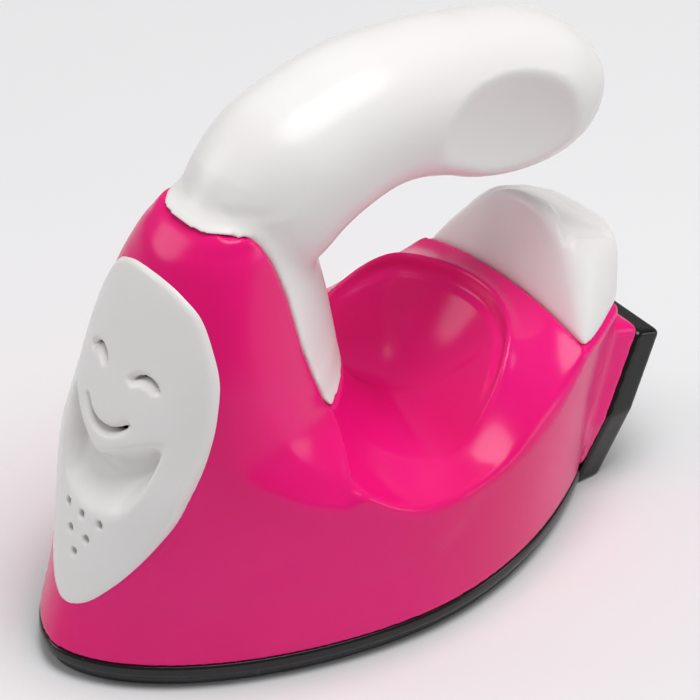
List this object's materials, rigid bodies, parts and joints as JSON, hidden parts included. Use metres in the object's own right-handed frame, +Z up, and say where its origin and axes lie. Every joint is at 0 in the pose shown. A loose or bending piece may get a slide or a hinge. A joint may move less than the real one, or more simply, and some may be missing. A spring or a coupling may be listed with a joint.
{
  "type": "toy iron",
  "caption": "Toy clothes iron with a smiling face plate, a curved one-ended handle over a finger bowl, a heel rest, a battery door and a power slide.",
  "frame": {"origin": "bottom centre of the bounding box, on the plane that the soleplate stands on", "axes": "the nose points along -Y, the heel along +Y, +X is the iron's left side, +Z is up"},
  "size_m": [0.0636, 0.1191, 0.0958],
  "materials": {
    "pink": "polished moulded plastic",
    "white": "polished moulded plastic",
    "black": "polished moulded plastic",
    "sole": "polished dark plastic",
    "pad": "smooth rubber",
    "dark": "moulded plastic",
    "cell": "metal can in a plain sleeve",
    "spring_steel": "nickel plated sheet",
    "board": "coated glass fibre laminate",
    "chip": "moulded resin",
    "red": "clear tinted plastic",
    "speaker": "pressed steel",
    "screw": "zinc plated"
  },
  "bodies": {
    "iron": {"body_shell": "pink", "face_plate": "white", "handle_left": "white", "handle_right": "white", "rear_cap": "white", "base_skirt": "black", "soleplate": "sole", "heel_plate": "black", "heel_pad": "pad", "neck_bracket": "pink", "front_post": "pink", "rear_post_left": "pink", "rear_post_right": "pink", "battery_box": "dark", "cell_1": "cell", "cell_2": "cell", "cell_bridge": "spring_steel", "cell_tab_1": "spring_steel", "cell_tab_2": "spring_steel", "circuit_board": "board", "sound_chip": "chip", "lamp": "red", "light_cup": "red", "speaker": "speaker", "speaker_ring": "pink", "switch_body": "spring_steel", "sole_screw_1": "screw", "sole_screw_2": "screw", "sole_screw_3": "screw", "sole_screw_4": "screw", "neck_screw_1": "screw", "neck_screw_2": "screw", "heel_screw_1": "screw", "heel_screw_2": "screw", "cap_screw_1": "screw", "cap_screw_2": "screw", "board_screw_1": "screw", "board_screw_2": "screw"},
    "door": {"battery_door": "black", "door_screw": "screw"},
    "switch": {"switch_slider": "white"}
  },
  "joints": [
    {"name": "battery_door_hinge", "type": "hinge", "parent": "iron", "child": "door", "pos_m": [0, -0.029, 0.0012], "axis": [-1, 0, 0], "range_deg": [0, 80]},
    {"name": "power_slide", "type": "slide", "parent": "iron", "child": "switch", "axis": [1, 0, 0], "range_m": [0, 0.003]}
  ]
}
